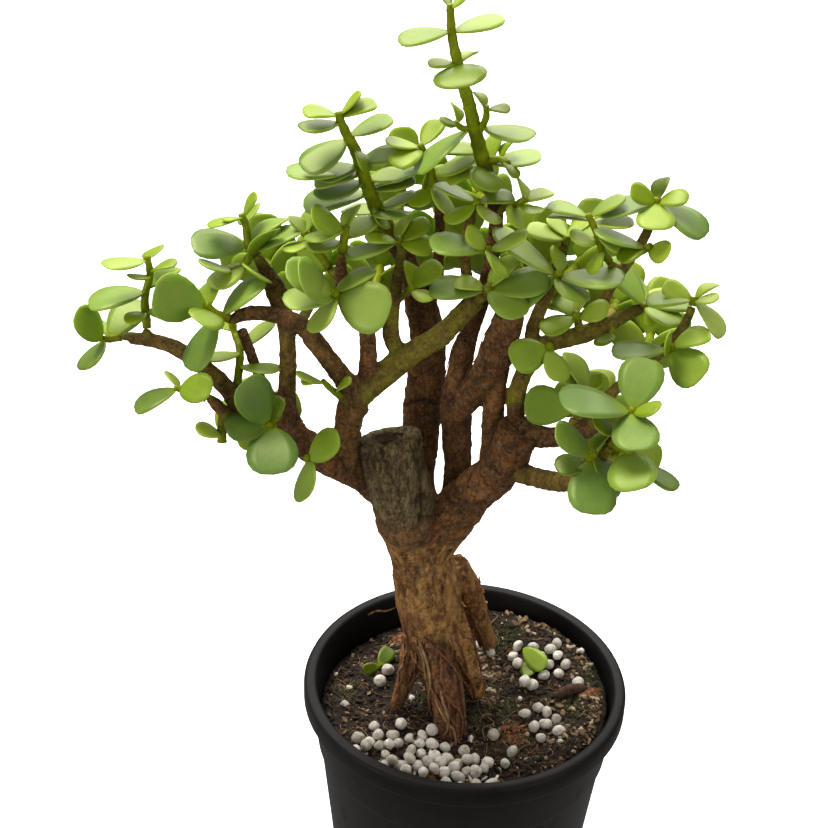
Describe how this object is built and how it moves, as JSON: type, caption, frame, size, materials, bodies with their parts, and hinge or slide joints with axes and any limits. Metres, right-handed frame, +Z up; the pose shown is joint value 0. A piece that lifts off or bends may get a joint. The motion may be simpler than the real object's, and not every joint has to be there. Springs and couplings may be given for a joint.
{
  "type": "dwarf jade bonsai in a pot",
  "caption": "Potted dwarf jade bonsai: chopped trunk on bare roots, forked limbs, paired round fleshy leaves, tapered round plastic pot with a rolled rim.",
  "frame": {"origin": "centre of the pot's flat underside", "axes": "+Z up along the pot's axis, -Y towards the front of the plant, +X to the front view's right"},
  "size_m": [0.1761, 0.1199, 0.3087],
  "materials": {
    "pot": "satin black moulded plastic",
    "soil": "dark damp potting mix with bark and grit",
    "wood": "brown fissured bark with ringed nodes",
    "leaf": "smooth fleshy satin leaf, grey-green above",
    "prill": "dull grey-white feed prill",
    "bark": "rough reddish bark chip"
  },
  "bodies": {
    "root": {"bark_stick": "bark", "pot": "pot", "prills_back": "prill", "prills_front": "prill", "prills_front_right": "prill", "prills_right": "prill", "shoot_back_centre": "leaf", "shoot_back_crown": "leaf", "shoot_back_far_right": "leaf", "shoot_back_fork": "leaf", "shoot_back_leader": "leaf", "shoot_back_left": "leaf", "shoot_back_left_crown": "leaf", "shoot_back_left_leader": "leaf", "shoot_back_low_left": "leaf", "shoot_back_low_right": "leaf", "shoot_back_middle": "leaf", "shoot_back_right": "leaf", "shoot_back_right_crown": "leaf", "shoot_back_stub": "leaf", "shoot_back_upper_left": "leaf", "shoot_branch_leaf": "leaf", "shoot_branch_top_leaves": "leaf", "shoot_branch_under_leaf": "leaf", "shoot_centre": "leaf", "shoot_centre_front": "leaf", "shoot_centre_high": "leaf", "shoot_centre_left_high": "leaf", "shoot_crown_mid": "leaf", "shoot_crown_right": "leaf", "shoot_far_left_high": "leaf", "shoot_far_left_low": "leaf", "shoot_far_left_tip": "leaf", "shoot_far_right": "leaf", "shoot_far_right_mid": "leaf", "shoot_fork_shoot": "leaf", "shoot_hanging_stub": "leaf", "shoot_high_right": "leaf", "shoot_high_right_inner": "leaf", "shoot_high_right_low": "leaf", "shoot_leader_side": "leaf", "shoot_left_big_leaves": "leaf", "shoot_left_centre": "leaf", "shoot_left_centre_high": "leaf", "shoot_left_crest": "leaf", "shoot_left_leader": "leaf", "shoot_left_mid_shoot": "leaf", "shoot_low_left": "leaf", "shoot_low_right": "leaf", "shoot_low_right_front": "leaf", "shoot_middle_shoot": "leaf", "shoot_olive_leaves": "leaf", "shoot_right_inner": "leaf", "shoot_right_node": "leaf", "shoot_tall_leader": "leaf", "shoot_under_left": "leaf", "shoot_upper_left": "leaf", "soil": "soil", "trunk_and_branches": "wood"}
  },
  "joints": []
}
